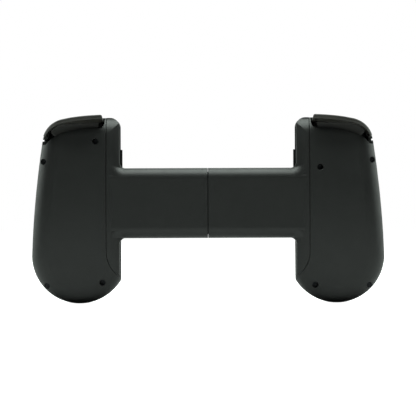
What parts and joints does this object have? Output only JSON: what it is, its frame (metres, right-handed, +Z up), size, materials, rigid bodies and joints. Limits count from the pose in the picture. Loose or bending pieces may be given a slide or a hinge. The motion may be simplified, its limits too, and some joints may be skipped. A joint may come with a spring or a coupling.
{
  "type": "telescoping phone game controller",
  "caption": "Game controller in two rounded grips joined by a sliding sprung bridge that clamps a phone between them, with sticks, direction pad, buttons and rear triggers.",
  "frame": {"origin": "middle of the closed controller's width and depth, at the level of the lowest point of the grips", "axes": "+X from the player's right grip to the player's left grip, +Y out of the face with the sticks and buttons, +Z up towards the triggers"},
  "size_m": [0.176, 0.034, 0.0935],
  "materials": {
    "shell": "fine texture",
    "trigger_gloss": "polished",
    "button_plastic": "fine texture",
    "inner_plastic": "moulded",
    "stick_rubber": "matt",
    "pad_rubber": "matt",
    "silicone": "translucent grey",
    "screw_steel": "blackened",
    "bright_steel": "plain",
    "board": "solder mask",
    "flex_film": "polyimide film",
    "light_guide": "clear moulding"
  },
  "bodies": {
    "core": {"bridge_core": "inner_plastic", "core_cover": "inner_plastic", "flex_cable": "flex_film", "left_slide_spring": "bright_steel", "right_slide_spring": "bright_steel"},
    "left_half": {"headphone_jack": "inner_plastic", "left_rear_cover": "shell", "left_front_cover": "shell", "left_bridge_shell": "shell", "left_bridge_plate": "shell", "left_cradle_pad": "pad_rubber", "left_case_screws": "screw_steel", "left_circuit_board": "board", "left_stick_base": "inner_plastic", "left_button_membrane": "silicone", "left_trigger_pin": "bright_steel", "left_trigger_spring": "bright_steel", "left_bumper_switch": "inner_plastic"},
    "right_half": {"charge_port": "bright_steel", "status_light": "light_guide", "plug_carrier": "inner_plastic", "right_rear_cover": "shell", "right_front_cover": "shell", "right_bridge_shell": "shell", "right_bridge_plate": "shell", "right_cradle_pad": "pad_rubber", "right_case_screws": "screw_steel", "right_circuit_board": "board", "right_stick_base": "inner_plastic", "right_button_membrane": "silicone", "right_trigger_pin": "bright_steel", "right_trigger_spring": "bright_steel", "right_bumper_switch": "inner_plastic"},
    "left_stick_yoke": {"left_stick_yoke": "inner_plastic"},
    "left_stick_gimbal": {"left_stick_gimbal": "inner_plastic"},
    "left_stick_cap": {"left_stick_cap": "stick_rubber"},
    "right_stick_yoke": {"right_stick_yoke": "inner_plastic"},
    "right_stick_gimbal": {"right_stick_gimbal": "inner_plastic"},
    "right_stick_cap": {"right_stick_cap": "stick_rubber"},
    "dpad_plate": {"dpad_plate": "inner_plastic"},
    "dpad_cross": {"dpad_cross": "button_plastic"},
    "options_button": {"options_button": "button_plastic"},
    "capture_button": {"capture_button": "button_plastic"},
    "menu_button": {"menu_button": "button_plastic"},
    "home_button": {"home_button": "button_plastic"},
    "top_face_button": {"top_face_button": "button_plastic"},
    "bottom_face_button": {"bottom_face_button": "button_plastic"},
    "left_face_button": {"left_face_button": "button_plastic"},
    "right_face_button": {"right_face_button": "button_plastic"},
    "left_trigger": {"left_trigger": "trigger_gloss"},
    "left_bumper": {"left_bumper": "trigger_gloss"},
    "right_trigger": {"right_trigger": "trigger_gloss"},
    "right_bumper": {"right_bumper": "trigger_gloss"},
    "phone_plug": {"phone_plug": "bright_steel"}
  },
  "joints": [
    {"name": "left_slide", "type": "slide", "parent": "core", "child": "left_half", "axis": [1, 0, 0], "range_m": [0, 0.032], "stiffness_N_per_m": 60, "springref_m": -0.02, "deforming": ["left_slide_spring"]},
    {"name": "right_slide", "type": "slide", "parent": "core", "child": "right_half", "axis": [-1, 0, 0], "range_m": [0, 0.032], "stiffness_N_per_m": 60, "springref_m": -0.02, "deforming": ["right_slide_spring"]},
    {"name": "left_stick_up_down", "type": "hinge", "parent": "left_half", "child": "left_stick_yoke", "pos_m": [0.0698, 0.0016, 0.066], "axis": [1, 0, 0], "range_deg": [-12, 12], "stiffness_Nm_per_rad": 0.04},
    {"name": "left_stick_side", "type": "hinge", "parent": "left_stick_yoke", "child": "left_stick_gimbal", "pos_m": [0.0698, 0.0016, 0.066], "axis": [0, 0, 1], "range_deg": [-12, 12], "stiffness_Nm_per_rad": 0.04},
    {"name": "left_stick_press", "type": "slide", "parent": "left_stick_gimbal", "child": "left_stick_cap", "axis": [0, -1, 0], "range_m": [0, 0.0008], "stiffness_N_per_m": 3000, "springref_m": -0.0005},
    {"name": "right_stick_up_down", "type": "hinge", "parent": "right_half", "child": "right_stick_yoke", "pos_m": [-0.0665, 0.0016, 0.038], "axis": [1, 0, 0], "range_deg": [-12, 12], "stiffness_Nm_per_rad": 0.04},
    {"name": "right_stick_side", "type": "hinge", "parent": "right_stick_yoke", "child": "right_stick_gimbal", "pos_m": [-0.0665, 0.0016, 0.038], "axis": [0, 0, 1], "range_deg": [-12, 12], "stiffness_Nm_per_rad": 0.04},
    {"name": "right_stick_press", "type": "slide", "parent": "right_stick_gimbal", "child": "right_stick_cap", "axis": [0, -1, 0], "range_m": [0, 0.0008], "stiffness_N_per_m": 3000, "springref_m": -0.0005},
    {"name": "dpad_up_down", "type": "hinge", "parent": "left_half", "child": "dpad_plate", "pos_m": [0.066, 0.006, 0.036], "axis": [1, 0, 0], "range_deg": [-5, 5], "stiffness_Nm_per_rad": 0.09},
    {"name": "dpad_side", "type": "hinge", "parent": "dpad_plate", "child": "dpad_cross", "pos_m": [0.066, 0.006, 0.036], "axis": [0, 0, 1], "range_deg": [-5, 5], "stiffness_Nm_per_rad": 0.09},
    {"name": "options_button_press", "type": "slide", "parent": "left_half", "child": "options_button", "axis": [0, -1, 0], "range_m": [0, 0.0005], "stiffness_N_per_m": 1500, "springref_m": -0.0003},
    {"name": "capture_button_press", "type": "slide", "parent": "left_half", "child": "capture_button", "axis": [0, -1, 0], "range_m": [0, 0.0005], "stiffness_N_per_m": 1500, "springref_m": -0.0003},
    {"name": "menu_button_press", "type": "slide", "parent": "right_half", "child": "menu_button", "axis": [0, -1, 0], "range_m": [0, 0.0005], "stiffness_N_per_m": 1500, "springref_m": -0.0003},
    {"name": "home_button_press", "type": "slide", "parent": "right_half", "child": "home_button", "axis": [0, -1, 0], "range_m": [0, 0.0005], "stiffness_N_per_m": 1500, "springref_m": -0.0003},
    {"name": "top_face_button_press", "type": "slide", "parent": "right_half", "child": "top_face_button", "axis": [0, -1, 0], "range_m": [0, 0.0013], "stiffness_N_per_m": 500, "springref_m": -0.0006},
    {"name": "bottom_face_button_press", "type": "slide", "parent": "right_half", "child": "bottom_face_button", "axis": [0, -1, 0], "range_m": [0, 0.0013], "stiffness_N_per_m": 500, "springref_m": -0.0006},
    {"name": "left_face_button_press", "type": "slide", "parent": "right_half", "child": "left_face_button", "axis": [0, -1, 0], "range_m": [0, 0.0013], "stiffness_N_per_m": 500, "springref_m": -0.0006},
    {"name": "right_face_button_press", "type": "slide", "parent": "right_half", "child": "right_face_button", "axis": [0, -1, 0], "range_m": [0, 0.0013], "stiffness_N_per_m": 500, "springref_m": -0.0006},
    {"name": "left_trigger_pull", "type": "hinge", "parent": "left_half", "child": "left_trigger", "pos_m": [0.067, 0.0016, 0.0826], "axis": [1, 0, 0], "range_deg": [0, 12], "stiffness_Nm_per_rad": 0.06, "springref_deg": -6.88},
    {"name": "left_bumper_press", "type": "hinge", "parent": "left_half", "child": "left_bumper", "pos_m": [0.0552, 0.004, 0.088], "axis": [0, 1, 0], "range_deg": [0, 1.6], "stiffness_Nm_per_rad": 1.4, "springref_deg": -0.69},
    {"name": "right_trigger_pull", "type": "hinge", "parent": "right_half", "child": "right_trigger", "pos_m": [-0.067, 0.0016, 0.0826], "axis": [1, 0, 0], "range_deg": [0, 12], "stiffness_Nm_per_rad": 0.06, "springref_deg": -6.88},
    {"name": "right_bumper_press", "type": "hinge", "parent": "right_half", "child": "right_bumper", "pos_m": [-0.0552, 0.004, 0.088], "axis": [0, -1, 0], "range_deg": [0, 1.6], "stiffness_Nm_per_rad": 1.4, "springref_deg": -0.69},
    {"name": "phone_plug_tilt", "type": "hinge", "parent": "right_half", "child": "phone_plug", "pos_m": [-0.052, 0.0042, 0.05], "axis": [0, 0, 1], "range_deg": [0, 10], "stiffness_Nm_per_rad": 0.03, "springref_deg": -2.86}
  ],
  "couplings": [
    {"joint": "right_slide", "follows": "left_slide", "ratio": 1}
  ]
}
